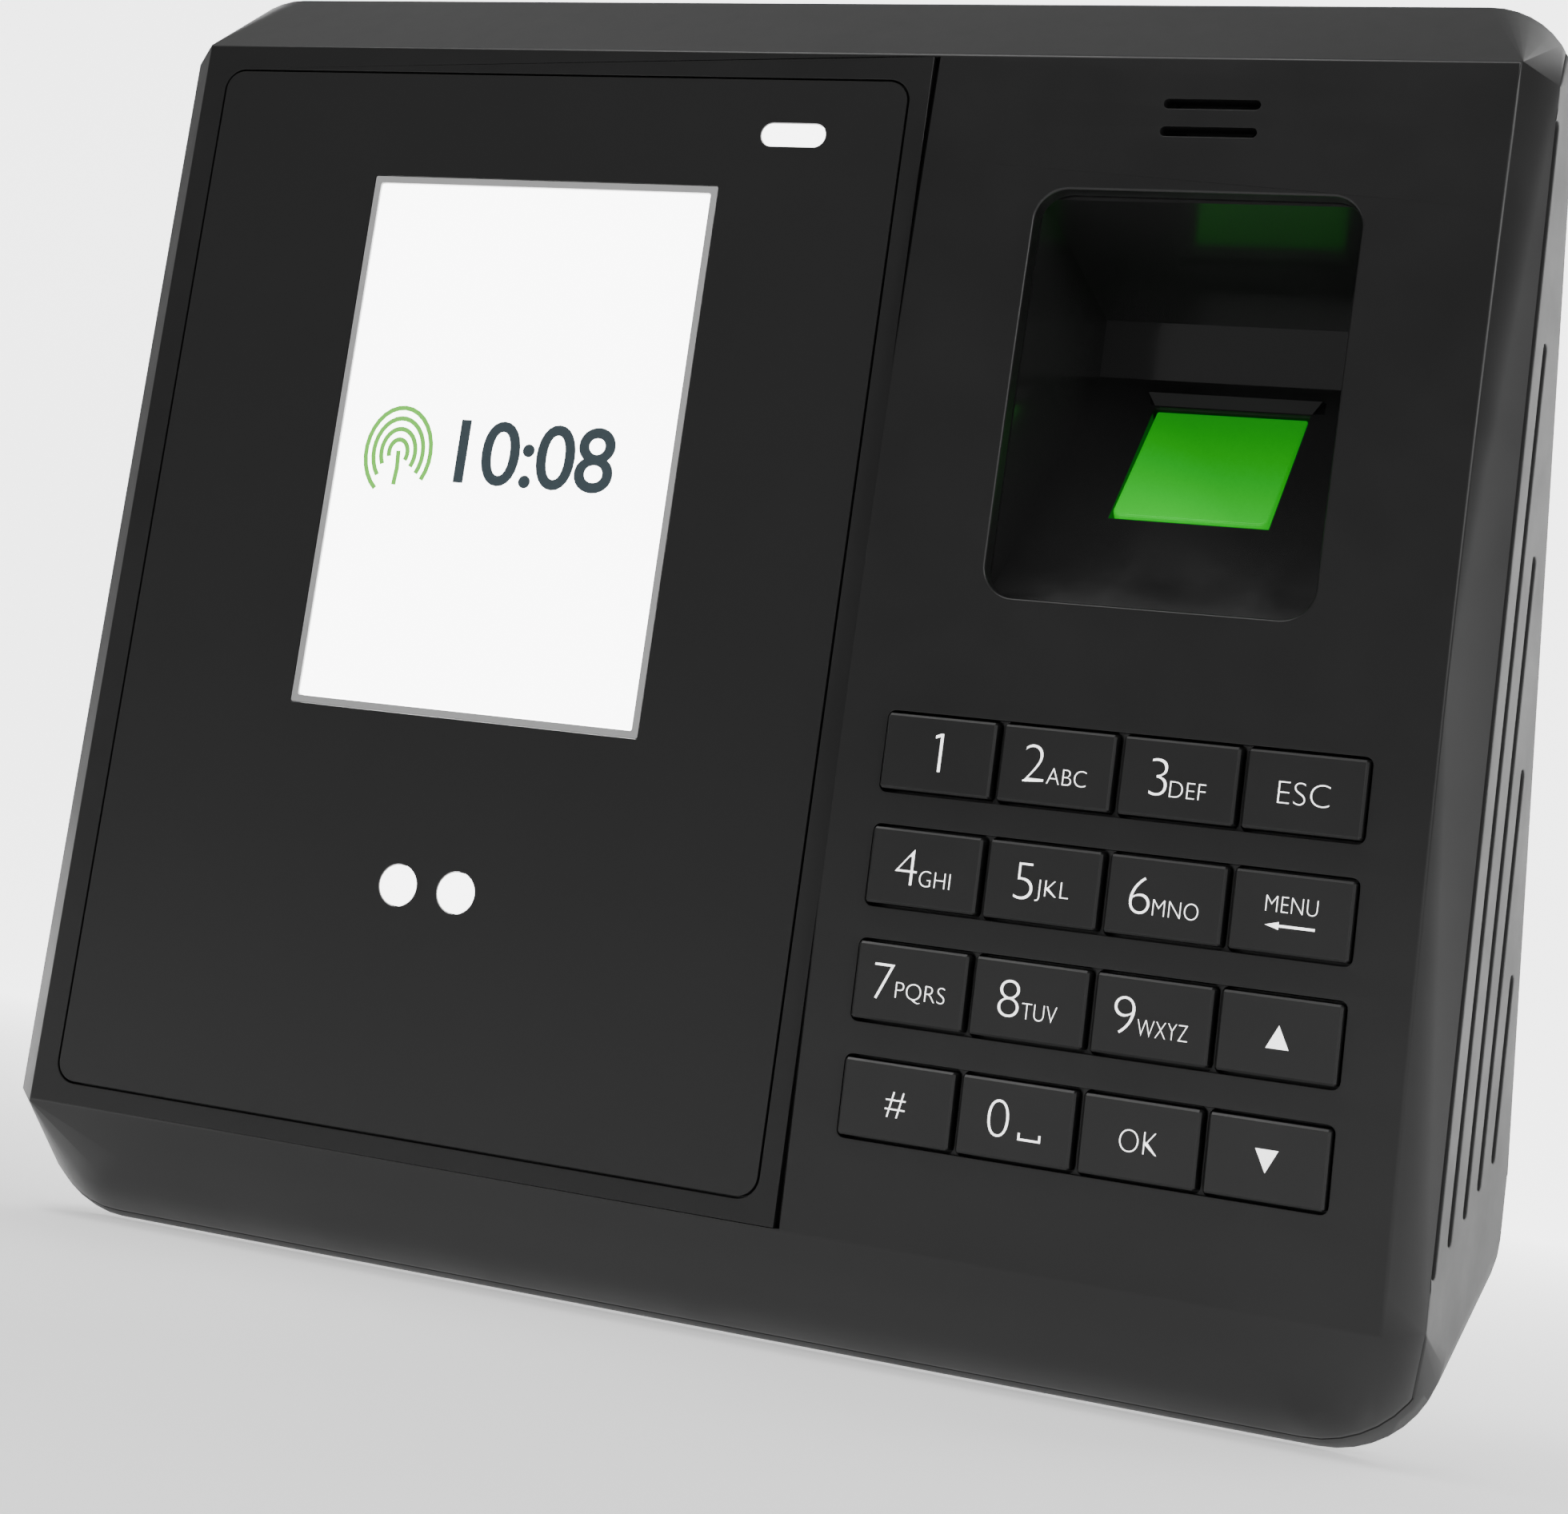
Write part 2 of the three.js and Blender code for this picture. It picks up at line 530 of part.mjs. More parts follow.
function sensorBay() {
  const mouth = WALL + GAP;
  const outside = bayRoom(BAY_WALL, mouth);
  const flange = panelSheet(BAY.x0 - 2, BAY.x1 + 2, BAY.z0 - 3, BAY.z1 + 2.4, mouth, mouth + BAY_WALL);
  const seat = slopedBox(SENSOR.w + 6, SENSOR.l + 6, -0.5, 3.4);
  const inside = bayRoom(0, -MOUTH_CLEAR);
  const recess = slopedBox(SENSOR.w + 0.5, SENSOR.l + 0.5, -3, 10);
  return cut(union([outside, flange, seat.intersect(box(0, 90, -29, -4.1, -20, 60))]), [inside, recess]);
}

// The window lies upright about its own origin. Its lower corners are round.
function sensorWindow() {
  const { w, l, t, r } = SENSOR;
  return plate(centred(0, 0, w, l, r), 0, t, 4).add(box(-w / 2, w / 2, 0, t, 0, l / 2));
}

function sensorHousing() {
  const block = slopedBox(SENSOR.w + 5, SENSOR.l - 3.4, 3.8, 6.4);
  const optics = slopedBox(SENSOR.w - 3, SENSOR.l - 5, 2.7, 4.5);
  return block.add(optics);
}

// ---------------------------------------------------------------- keypad
// Turns and places a piece made about the origin, whose +Y points into the right panel.
function onPanel(object, x, z, depth) {
  const inward = panelNormal(x, z);
  object.quaternion.setFromUnitVectors(new THREE.Vector3(0, 1, 0), inward);
  object.position.set(x, panelDepth(x, z), z).addScaledVector(inward, depth);
}

// A key about its own origin, which lies on the panel's face.
function keyCap() {
  const lip = KEY.edge;
  const w = KEY.w / 2;
  const h = KEY.h / 2;
  const top = -KEY.proud;
  const cap = hull([-1, 1].flatMap((a) => [-1, 1].flatMap((b) => [
    [a * (w - lip), top, b * (h - lip)],
    [a * w, top + lip, b * (h - lip)],
    [a * (w - lip), top + lip, b * h],
    [a * w, 3.4, b * h],
  ])));
  const flange = box(-w, w, WALL + GAP, 3.4, -h - KEY_FLANGE, h + KEY_FLANGE);
  const foot = rod(0, 0, 2.2, 3.2, 4.2, 12);
  return union([cap, flange, foot]);
}

function keypadSheet(y0, y1) {
  return box(-PAD.w / 2, PAD.w / 2, y0, y1, -PAD.h / 2, PAD.h / 2);
}

function keypadMat() {
  const sheet = keypadSheet(0, 0.8);
  const domes = [];
  for (const x of KEY_X) {
    for (const z of KEY_Z) {
      const dome = new THREE.CylinderGeometry(2.6, 1.8, 0.6, 8);
      domes.push(solid(dome.translate(x - PAD_X, -0.2, z - PAD_Z)));
    }
  }
  return union([sheet, ...domes]);
}

// ---------------------------------------------------------------- electronics and fastenings
function mainBoard() {
  const board = box(BOARD.x0, BOARD.x1, BOARD.y, BOARD.y + BOARD.t, BOARD.z0, BOARD.z1);
  return cut(board, boardPosts().map(([x, z]) => rod(x, z, 1.6, -30, 0, 10)));
}

// A socket facing the wall, standing on the back of the main board.
function backSocket(x, z, w, h, depth, holeW, holeH) {
  const y0 = BOARD_BACK;
  const shell = box(x - w / 2, x + w / 2, y0, y0 + depth, z - h / 2, z + h / 2);
  const hole = box(x - holeW / 2, x + holeW / 2, y0 + 1.2, 10, z - holeH / 2, z + holeH / 2);
  return shell.subtract(hole);
}

function powerJack(x, z) {
  const y0 = BOARD_BACK;
  const shell = box(x - 4.5, x + 4.5, y0, y0 + 11, z - 5.5, z + 5.5);
  const pin = rod(x, z, 1.0, y0 + 1, y0 + 10, 12);
  return shell.subtract(rod(x, z, 3.1, y0 + 1.2, 10, 20)).add(pin);
}

function terminalBlock(x, z) {
  const y0 = BOARD_BACK;
  const block = box(x - 14, x + 14, y0, y0 + 8.5, z - 4, z + 4);
  const ways = [-10.5, -3.5, 3.5, 10.5]
    .map((dx) => box(x + dx - 1.5, x + dx + 1.5, y0 + 3, 10, z - 1.5, z + 1.5));
  return cut(block, ways);
}

function usbPort() {
  const end = USB.z + USB.l;
  const tongue = box(USB.x - 5.2, USB.x + 5.2, USB.y - 1.6, USB.y, USB.z + 1.5, end - 1);
  return usbBlock(0, USB.z, end).subtract(usbBlock(-0.5, -90, end - 1.5)).add(tongue);
}

function speaker() {
  const cone = rod(SLOT_X, 57.0, 4.6, -26.2, -22.6, 20);
  const magnet = rod(SLOT_X, 57.0, 3.0, -23, -20.4, 16);
  return cone.add(magnet);
}

function tamperSwitch() {
  const y0 = BOARD_BACK;
  const body = box(TAMPER.x - 4, TAMPER.x + 4, y0, -9.5, TAMPER.z - 4, TAMPER.z + 4);
  return body.subtract(rod(TAMPER.x, TAMPER.z, 2.9, -14.0, 0, 14));
}

function tamperPlunger() {
  const pin = rod(TAMPER.x, TAMPER.z, 1.6, -11.5, -0.2, 14);
  return pin.add(rod(TAMPER.x, TAMPER.z, 2.5, -11.5, -10.3, 14));
}

function wallBracket() {
  const half = BRACKET.w / 2;
  const sheet = plate(roundedRect(-half, half, BRACKET.z0, BRACKET.z1, 3), -BRACKET.t, 0, 3);
  const holes = [
    plate(centred(PORT.x, PORT.z, PORT.w + 2, PORT.h + 2, 2), -10, 10, 3),
    rod(TAMPER.x, TAMPER.z, 2.6, -10, 10, 14),
    ...BRACKET_SLOTS.map(([x, z]) => plate(centred(x, z, 4.4, 9, 2.1), -10, 10, 4)),
    ...BRACKET_TABS.map(([x, z]) => box(x - 5, x + 5, -10, 10, z + 0.2, z + 4)),
  ];
  const tabs = BRACKET_TABS.map(([x, z]) => box(x - 4, x + 4, -4.8, -0.6, z - 0.9, z + 0.3)
    .add(box(x - 4, x + 4, -5.6, -4.4, z - 0.9, z + 3.0)));
  const lugHole = new THREE.CylinderGeometry(1.6, 1.6, 9, 12).rotateX(Math.PI / 2);
  const lug = box(-6, 6, -8, -0.4, BRACKET.z0, BRACKET.z0 + BRACKET.t)
    .subtract(solid(lugHole.translate(0, LOCK_Y, BRACKET.z0)));
  return union([cut(sheet, holes), ...tabs, lug]);
}

// The screw that enters from below and locks the case to the bracket's lug.
function lockScrew() {
  const head = solid(new THREE.CylinderGeometry(2.6, 2.6, 1.6, 16).translate(0, -0.8, 0));
  const slot = solid(new THREE.BoxGeometry(3.2, 1.4, 0.7).translate(0, -1.6, 0));
  const shank = solid(new THREE.CylinderGeometry(1.3, 1.3, 11.5, 12).translate(0, 5.5, 0));
  return head.subtract(slot).add(shank);
}

function caseScrew() {
  const head = solid(new THREE.CylinderGeometry(2.5, 2.5, 1.5, 16)).subtract(
    solid(new THREE.BoxGeometry(2.6, 1.6, 0.6).translate(0, 0.75, 0)),
  ).subtract(solid(new THREE.BoxGeometry(0.6, 1.6, 2.6).translate(0, 0.75, 0)));
  return head.add(solid(new THREE.CylinderGeometry(1.0, 1.0, 14, 10).translate(0, -7.5, 0)));
}

function boardScrew() {
  const head = solid(new THREE.CylinderGeometry(2.4, 2.4, 1.2, 14)).subtract(
    solid(new THREE.BoxGeometry(2.4, 1.2, 0.6).translate(0, -0.6, 0)),
  );
  return head.add(solid(new THREE.CylinderGeometry(1.0, 1.0, 8, 10).translate(0, 4.4, 0)));
}

// ---------------------------------------------------------------- materials
function material(color, roughness, metalness = 0) {
  return new THREE.MeshStandardMaterial({ color, roughness, metalness });
}

const blackPlastic = material(0x262626, 0.45);
const glossBlack = material(0x0b0b0b, 0.12);
const keyPlastic = material(0x2a2a2a, 0.5);
const greyPlastic = material(0xaaaaaa, 0.4);
const whiteGloss = material(0xf4f4f4, 0.2);
const darkGlass = material(0x111318, 0.1);
const greenGlass = material(0x2fb81f, 0.25);
const boardGreen = material(0x14502a, 0.55);
const steel = material(0xb8bcc0, 0.35, 1);
const silicone = material(0x3a3a3a, 0.8);
const silver = material(0xc8c8c8, 0.3, 1);

// ---------------------------------------------------------------- assembly
const terminal = new THREE.Group();
terminal.name = 'terminal';

function add(name, manifold, look, parent = terminal) {
  const mesh = new THREE.Mesh(geometryOf(manifold), look);
  mesh.name = name;
  parent.add(mesh);
  return mesh;
}

add('front_shell', frontShell(), blackPlastic);
add('rear_shell', rearShell(), blackPlastic);

add('face_window', faceWindow(), glossBlack);
add('lcd_frame', lcdFrame(), greyPlastic);
add('lcd_module', lcdModule(), whiteGloss);
add('status_light', statusLight(), whiteGloss);
for (const eye of EYES) {
  add(`camera_window_${eye.name}`, cameraWindow(eye.x), whiteGloss);
  add(`camera_module_${eye.name}`, cameraModule(eye.x), darkGlass);
}
add('camera_board', cameraBoard(), boardGreen);

add('sensor_bay', sensorBay(), glossBlack);
const sensorGlass = add('sensor_window', sensorWindow(), greenGlass);
sensorGlass.position.set(SENSOR.x, SENSOR.y, SENSOR.z);
sensorGlass.rotation.x = SENSOR_LEAN;
add('sensor_module', sensorHousing(), blackPlastic);

KEY_NAMES.forEach((names, row) => {
  names.forEach((name, column) => {
    onPanel(add(name, keyCap(), keyPlastic), KEY_X[column], KEY_Z[row], 0);
  });
});

const keypad = new THREE.Group();
onPanel(keypad, PAD_X, PAD_Z, PAD_DEPTH);
add('keypad_mat', keypadMat(), silicone, keypad);
add('keypad_board', keypadSheet(1.1, 2.7), boardGreen, keypad);
terminal.add(keypad);

add('main_board', mainBoard(), boardGreen);
add('ethernet_jack', backSocket(-24, -28, 16, 13.5, 13, 12, 7), silver);
add('power_jack', powerJack(-7, -28), glossBlack);
add('terminal_block', terminalBlock(12.2, -28), greyPlastic);
add('usb_port', usbPort(), silver);
add('speaker', speaker(), darkGlass);
add('backup_battery', box(-55, -37, BOARD_BACK, -10, -48, -4), greyPlastic);
add('tamper_switch', tamperSwitch(), blackPlastic);
add('tamper_plunger', tamperPlunger(), whiteGloss);
add('wall_bracket', wallBracket(), steel);

const lock = add('lock_screw', lockScrew(), steel);
lock.position.set(0, LOCK_Y, LOCK_HEAD_Z - GAP);
lock.rotation.x = Math.PI / 2;

CASE_SCREWS.forEach(([x, z], index) => {
  add(`case_screw_${index + 1}`, caseScrew(), steel).position.set(x, -4.0, z);
});

boardPosts().forEach(([x, z], index) => {
  add(`board_screw_${index + 1}`, boardScrew(), steel).position.set(x, BOARD.y - 0.9, z);
});

export default terminal;
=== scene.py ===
import json
import math

import bmesh
import bpy
from mathutils import Euler, Matrix, Vector


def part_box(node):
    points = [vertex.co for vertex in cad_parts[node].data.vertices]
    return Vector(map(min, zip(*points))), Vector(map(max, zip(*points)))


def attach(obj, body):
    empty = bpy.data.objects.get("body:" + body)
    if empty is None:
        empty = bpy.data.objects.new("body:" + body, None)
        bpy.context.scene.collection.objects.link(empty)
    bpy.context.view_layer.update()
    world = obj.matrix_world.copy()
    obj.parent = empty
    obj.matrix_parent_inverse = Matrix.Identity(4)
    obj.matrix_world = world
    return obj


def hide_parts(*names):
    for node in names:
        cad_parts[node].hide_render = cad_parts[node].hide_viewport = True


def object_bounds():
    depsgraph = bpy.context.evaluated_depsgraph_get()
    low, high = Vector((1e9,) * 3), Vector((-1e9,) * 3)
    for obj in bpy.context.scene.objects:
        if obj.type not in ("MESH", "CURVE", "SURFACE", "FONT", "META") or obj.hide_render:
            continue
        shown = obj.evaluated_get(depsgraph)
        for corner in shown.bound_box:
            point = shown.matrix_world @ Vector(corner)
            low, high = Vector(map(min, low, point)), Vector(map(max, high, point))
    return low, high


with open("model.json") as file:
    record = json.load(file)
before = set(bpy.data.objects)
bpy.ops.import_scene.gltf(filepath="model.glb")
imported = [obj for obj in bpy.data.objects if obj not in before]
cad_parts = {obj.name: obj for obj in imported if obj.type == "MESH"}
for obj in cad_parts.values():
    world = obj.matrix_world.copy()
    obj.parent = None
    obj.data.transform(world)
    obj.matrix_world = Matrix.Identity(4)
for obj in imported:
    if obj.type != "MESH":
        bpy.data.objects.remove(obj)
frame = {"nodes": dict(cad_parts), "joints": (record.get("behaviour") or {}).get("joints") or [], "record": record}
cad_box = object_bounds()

# Lengths in millimetres are turned into Blender's metres with this factor.
MM = 0.001

# The camera's place in millimetres, its turn in degrees, its lens and how far off-centre the picture is.
CAMERA_PLACE = (140.26, -355.59, -46.34)
CAMERA_TURN = (98.832, -8.417, 24.012)
CAMERA_LENS = 75.32
CAMERA_SHIFT = (0.1005, -0.1617)
CAMERA_REACH = (0.01, 20)  # the nearest and farthest things it sees, in metres

NODES = frame["nodes"]
JOINTS = {joint["child"]: joint for joint in frame["joints"]}
SLOTS = {row["node"]: row["material_slot"] for row in frame["record"]["subparts"]}


# ---------------------------------------------------------------- materials
NOISE_SPAN = (0.3, 0.7)  # a noise texture seldom leaves this range
CLOUD_SCALE = 35  # slow changes of a plastic's tone
GLOSS_SCALE = 90  # changes of a plastic's gloss
GRAIN_STRENGTH = 0.35
TARNISH_SCALE = 60  # slow changes of a metal's tone
TARNISH = 0.88
DRAWN_SCALE = 1500  # fine lines left by rolling or turning
DRAWN_DEPTH = 0.01
TRACK_SCALE = 260.0
TRACK_WIDTH = 0.03
MASK_DARK = (0.012, 0.10, 0.03, 1)
MASK_LIGHT = (0.016, 0.13, 0.04, 1)
TRACK_GREEN = (0.04, 0.20, 0.07, 1)
GLASS_BRIGHT = (0.0, 0.40, 0.012, 1)
GLASS_DARK = (0.0, 0.21, 0.008, 1)
GLASS_GRAIN = 0.12
GLASS_GLOW = 1.1


class Nodes:
    """A short way to write a material's node tree."""

    def __init__(self, name):
        self.material = bpy.data.materials.new(name)
        self.material.use_nodes = True
        self.tree = self.material.node_tree
        self.shader = self.tree.nodes["Principled BSDF"]

    def add(self, kind, **values):
        node = self.tree.nodes.new(kind)
        for name, value in values.items():
            if name in node.inputs:
                node.inputs[name].default_value = value
            else:
                setattr(node, name, value)
        return node

    def link(self, output, target):
        self.tree.links.new(output, target)

    def set(self, **values):
        for name, value in values.items():
            self.shader.inputs[name.replace("_", " ")].default_value = value

    def noise(self, scale, detail=2.0, roughness=0.5, stretch=(1, 1, 1)):
        place = self.add("ShaderNodeTexCoord")
        mapping = self.add("ShaderNodeMapping")
        mapping.inputs["Scale"].default_value = stretch
        self.link(place.outputs["Object"], mapping.inputs["Vector"])
        noise = self.add("ShaderNodeTexNoise", Scale=scale, Detail=detail, Roughness=roughness)
        self.link(mapping.outputs["Vector"], noise.inputs["Vector"])
        return noise.outputs["Fac"]

    def span(self, value, low, high):
        """value, from 0 to 1, turned into low to high."""
        node = self.add("ShaderNodeMapRange")
        node.inputs["From Min"].default_value = NOISE_SPAN[0]
        node.inputs["From Max"].default_value = NOISE_SPAN[1]
        node.inputs["To Min"].default_value = low
        node.inputs["To Max"].default_value = high
        self.link(value, node.inputs["Value"])
        return node.outputs["Result"]

    def tint(self, value, dark, light):
        """A colour between dark and light, by value."""
        ramp = self.add("ShaderNodeValToRGB")
        ramp.color_ramp.elements[0].position = NOISE_SPAN[0]
        ramp.color_ramp.elements[1].position = NOISE_SPAN[1]
        ramp.color_ramp.elements[0].color = (*dark, 1)
        ramp.color_ramp.elements[1].color = (*light, 1)
        self.link(value, ramp.inputs["Fac"])
        self.link(ramp.outputs["Color"], self.shader.inputs["Base Color"])

    def bump(self, height, strength, distance):
        node = self.add("ShaderNodeBump", Strength=strength, Distance=distance)
        self.link(height, node.inputs["Height"])
        self.link(node.outputs["Normal"], self.shader.inputs["Normal"])


def grey(value):
    return (value, value, value)


def scaled(tone, factor):
    return tuple(c * factor for c in tone)


def plastic(name, tone, roughness, grain=6000.0, depth=0.006, spread=0.12, shine=0.35, uneven=0.04):
    """Moulded plastic: fine spark-eroded grain, uneven gloss and slight cloudiness."""
    made = Nodes(name)
    made.set(Specular_IOR_Level=shine)
    made.tint(made.noise(CLOUD_SCALE, 3), scaled(tone, 1 - spread), scaled(tone, 1 + spread))
    gloss = made.span(made.noise(GLOSS_SCALE, 4, 0.6), roughness - uneven, roughness + uneven)
    made.link(gloss, made.shader.inputs["Roughness"])
    if depth:
        made.bump(made.noise(grain, 2), GRAIN_STRENGTH, depth * MM)
    return made.material


def metal(name, tone, roughness, stretch):
    """Plated sheet or turned steel, with fine drawn lines."""
    made = Nodes(name)
    made.set(Metallic=1.0)
    made.tint(made.noise(TARNISH_SCALE, 3), scaled(tone, TARNISH), tone)
    lines = made.noise(DRAWN_SCALE, 3, 0.6, stretch)
    made.link(made.span(lines, roughness - 0.07, roughness + 0.08), made.shader.inputs["Roughness"])
    made.bump(lines, 0.2, DRAWN_DEPTH * MM)
    return made.material


def circuit_board():
    """Green solder mask over faint copper tracks."""
    made = Nodes("circuit_board_look")
    made.set(Roughness=0.35, Coat_Weight=0.4)
    tracks = made.add("ShaderNodeTexBrick", Scale=TRACK_SCALE)
    tracks.inputs["Color1"].default_value = MASK_DARK
    tracks.inputs["Color2"].default_value = MASK_LIGHT
    tracks.inputs["Mortar"].default_value = TRACK_GREEN
    tracks.inputs["Mortar Size"].default_value = TRACK_WIDTH
    place = made.add("ShaderNodeTexCoord")
    turn = made.add("ShaderNodeMapping")
    turn.inputs["Rotation"].default_value = (math.pi / 2, 0, 0)
    made.link(place.outputs["Object"], turn.inputs["Vector"])
    made.link(turn.outputs["Vector"], tracks.inputs["Vector"])
    made.link(tracks.outputs["Color"], made.shader.inputs["Base Color"])
    made.bump(made.noise(700, 2), 0.1, 0.02 * MM)
    return made.material


def lit(name, tone, strength, low=0.97, roughness=0.25):
    """A white or coloured part that is lit from behind, a little uneven."""
    made = Nodes(name)
    made.tint(made.noise(120, 2), scaled(tone, low), tone)
    made.set(Roughness=roughness, Emission_Color=(*tone, 1), Emission_Strength=strength)
    return made.material


def sensor_glass():
    """The lit prism: bright at its lower edge, darker higher up, with a fine grain."""
    made = Nodes("sensor_glass_look")
    low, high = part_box("sensor_window")
    place = made.add("ShaderNodeTexCoord")
    split = made.add("ShaderNodeSeparateXYZ")
    made.link(place.outputs["Object"], split.inputs["Vector"])
    slope = made.add("ShaderNodeMapRange")
    slope.inputs["From Min"].default_value = low.z
    slope.inputs["From Max"].default_value = high.z
    made.link(split.outputs["Z"], slope.inputs["Value"])
    grain = made.add("ShaderNodeMath", operation="MULTIPLY_ADD")
    grain.inputs[1].default_value = GLASS_GRAIN
    made.link(made.noise(5200, 1), grain.inputs[0])
    made.link(slope.outputs["Result"], grain.inputs[2])
    ramp = made.add("ShaderNodeValToRGB")
    ramp.color_ramp.elements[0].position = 0.05
    ramp.color_ramp.elements[1].position = 1.0
    ramp.color_ramp.elements[0].color = GLASS_BRIGHT
    ramp.color_ramp.elements[1].color = GLASS_DARK
    made.link(grain.outputs["Value"], ramp.inputs["Fac"])
    made.link(ramp.outputs["Color"], made.shader.inputs["Base Color"])
    made.link(ramp.outputs["Color"], made.shader.inputs["Emission Color"])
    made.set(Roughness=0.3, Specular_IOR_Level=0.2, Emission_Strength=GLASS_GLOW)
    return made.material


LOOKS = {
    "case_plastic": plastic("case_plastic_look", grey(0.008), 0.38),
    # The rear shell's grey, lighter than the front's black, is painted light: it makes the lit side wall read
    # brighter.
    "rear_plastic": plastic("rear_plastic_look", grey(0.020), 0.52, shine=0.25),
    "gloss_black": plastic("gloss_black_look", grey(0.012), 0.16, depth=0, spread=0.06, shine=0.5),
    "bay_gloss": plastic("bay_gloss_look", grey(0.012), 0.12, depth=0, spread=0.06, shine=0.6),
    "window_sheet": plastic("window_sheet_look", grey(0.011), 0.32, depth=0, spread=0.04, uneven=0.01),
    "key_plastic": plastic("key_plastic_look", grey(0.010), 0.36, grain=8000.0, depth=0.004),
    "grey_plastic": plastic("grey_plastic_look", grey(0.33), 0.4, depth=0.004, spread=0.05),
    "dark_plastic": plastic("dark_plastic_look", grey(0.02), 0.5),
    "silicone": plastic("silicone_look", grey(0.05), 0.75, depth=0.01),
    "white_diffuser": lit("white_diffuser_look", grey(0.9), 6.0),
    "screen_glass": lit("screen_glass_look", grey(1.0), 8.0),
    "print_white": lit("print_white_look", grey(0.9), 2.2, low=0.9, roughness=0.6),
    "print_slate": plastic("print_slate_look", (0.035, 0.055, 0.065), 0.5, depth=0),
    "print_green": lit("print_green_look", (0.12, 0.50, 0.05), 0.8, low=0.9),
    "sensor_green": sensor_glass(),
    "circuit_board": circuit_board(),
    "plated_steel": metal("plated_steel_look", grey(0.48), 0.28, (1, 1, 0.1)),
    "bracket_steel": metal("bracket_steel_look", (0.36, 0.37, 0.39), 0.40, (0.05, 1, 1)),
}
SPECIAL_LOOKS = {"rear_shell": "rear_plastic", "face_window": "window_sheet", "sensor_bay": "bay_gloss"}


def look_of(node):
    """The finish of a CAD node: a special one, or else its slot's."""
    return LOOKS[SPECIAL_LOOKS.get(node, SLOTS[node])]


def dress(node):
    """Gives a CAD object its finish on the object's own material slots, so that its mesh stays as it is."""
    for place in NODES[node].material_slots:
        place.link = "OBJECT"
        place.material = look_of(node)


# ---------------------------------------------------------------- finish of the CAD pieces
# Bevel width in millimetres for the edges of the smaller pieces.
EDGE_WIDTHS = {
    "face_window": 0.12, "lcd_frame": 0.08, "status_light": 0.1, "camera_window_left": 0.1,
    "camera_window_right": 0.1, "sensor_window": 0.25, "wall_bracket": 0.12, "usb_port": 0.08,
}
KEY_EDGE = 0.12
SMALL_EDGE = 0.1
SHARP_ANGLE = math.radians(24)
SPLIT_ANGLE = math.radians(38)
FLAT_ANGLE = math.radians(0.2)
NEARLY_FLAT = math.radians(1)
WELD_DISTANCE = 0.002  # for the small pieces
MERGE_DISTANCE = 0.005  # for the rounded copies
EDGE_STEPS = 3
NORMAL_WEIGHT = 80


def smooth_faces():
    """A modifier's node group that shades a mesh's faces smoothly."""
    group = bpy.data.node_groups.new("smooth_faces", "GeometryNodeTree")
    group.interface.new_socket("Geometry", in_out="INPUT", socket_type="NodeSocketGeometry")
    group.interface.new_socket("Geometry", in_out="OUTPUT", socket_type="NodeSocketGeometry")
    start = group.nodes.new("NodeGroupInput")
    shade = group.nodes.new("GeometryNodeSetShadeSmooth")
    end = group.nodes.new("NodeGroupOutput")
    group.links.new(start.outputs[0], shade.inputs["Geometry"])
    group.links.new(shade.outputs["Geometry"], end.inputs[0])
    return group


SMOOTH_FACES = smooth_faces()


def soften(piece, width):
    """Rounds every edge of a small piece."""
    weld = piece.modifiers.new("weld", "WELD")
    weld.merge_threshold = WELD_DISTANCE * MM
    flat = piece.modifiers.new("flat", "DECIMATE")
    flat.decimate_type = "DISSOLVE"
    flat.angle_limit = NEARLY_FLAT
    bevel = piece.modifiers.new("bevel", "BEVEL")
    bevel.width = width * MM
    bevel.segments = EDGE_STEPS
    bevel.limit_method = "ANGLE"
    bevel.angle_limit = SHARP_ANGLE
    smooth = piece.modifiers.new("smooth", "NODES")
    smooth.node_group = SMOOTH_FACES
    shade = piece.modifiers.new("shade", "WEIGHTED_NORMAL")
    shade.weight = NORMAL_WEIGHT


def rounded_copy(node, passes):
    """A copy of a large CAD piece that stands for it.

    Each pass has a width, a number of steps and a test that picks the sharp edges to round.
    """
    shape = bmesh.new()
    shape.from_mesh(NODES[node].data)
    bmesh.ops.remove_doubles(shape, verts=shape.verts, dist=MERGE_DISTANCE * MM)
    bmesh.ops.dissolve_limit(shape, angle_limit=FLAT_ANGLE, verts=shape.verts, edges=shape.edges)
    for width, segments, picks in passes:
        edges = []
        for edge in shape.edges:
            if len(edge.link_faces) != 2 or edge.calc_face_angle(0) < SHARP_ANGLE / 2:
                continue
            if picks(edge, (edge.verts[0].co + edge.verts[1].co) / (2 * MM)):
                edges.append(edge)
        bmesh.ops.bevel(shape, geom=edges, offset=width * MM, offset_type="OFFSET", segments=segments,
                        profile=0.5, affect="EDGES", clamp_overlap=False)
    for face in shape.faces:
        face.smooth = True
    for edge in shape.edges:
        edge.smooth = len(edge.link_faces) == 2 and edge.calc_face_angle(0) < SPLIT_ANGLE
    mesh = bpy.data.meshes.new(node + "_rounded")
    shape.to_mesh(mesh)
    shape.free()
    mesh.materials.append(look_of(node))
    piece = bpy.data.objects.new(node + "_finish", mesh)
    bpy.context.scene.collection.objects.link(piece)
    shade = piece.modifiers.new("shade", "WEIGHTED_NORMAL")
    shade.weight = NORMAL_WEIGHT
    shade.keep_sharp = True
    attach(piece, "terminal")
    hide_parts(node)


# Where the front's outline and the bay's mouth run, in millimetres.
OUTLINE = {"left": -78.1, "right": 78.5, "top": 61.5, "bottom": -66.2, "shoulder": -26.3}
BAY = {"x0": 29.5, "x1": 64.6, "z0": 1.8, "z1": 46.3}
NEAR = 0.3  # how close an edge's middle lies to its line
SHOULDER_MARGIN = 0.5
BAY_MOUTH_Y = -30.4
PANEL_FRONT_Y = -29.9
SIDE_EDGE_X = 81
STEEP = 1  # in radians: an opening's edge turns by more than this


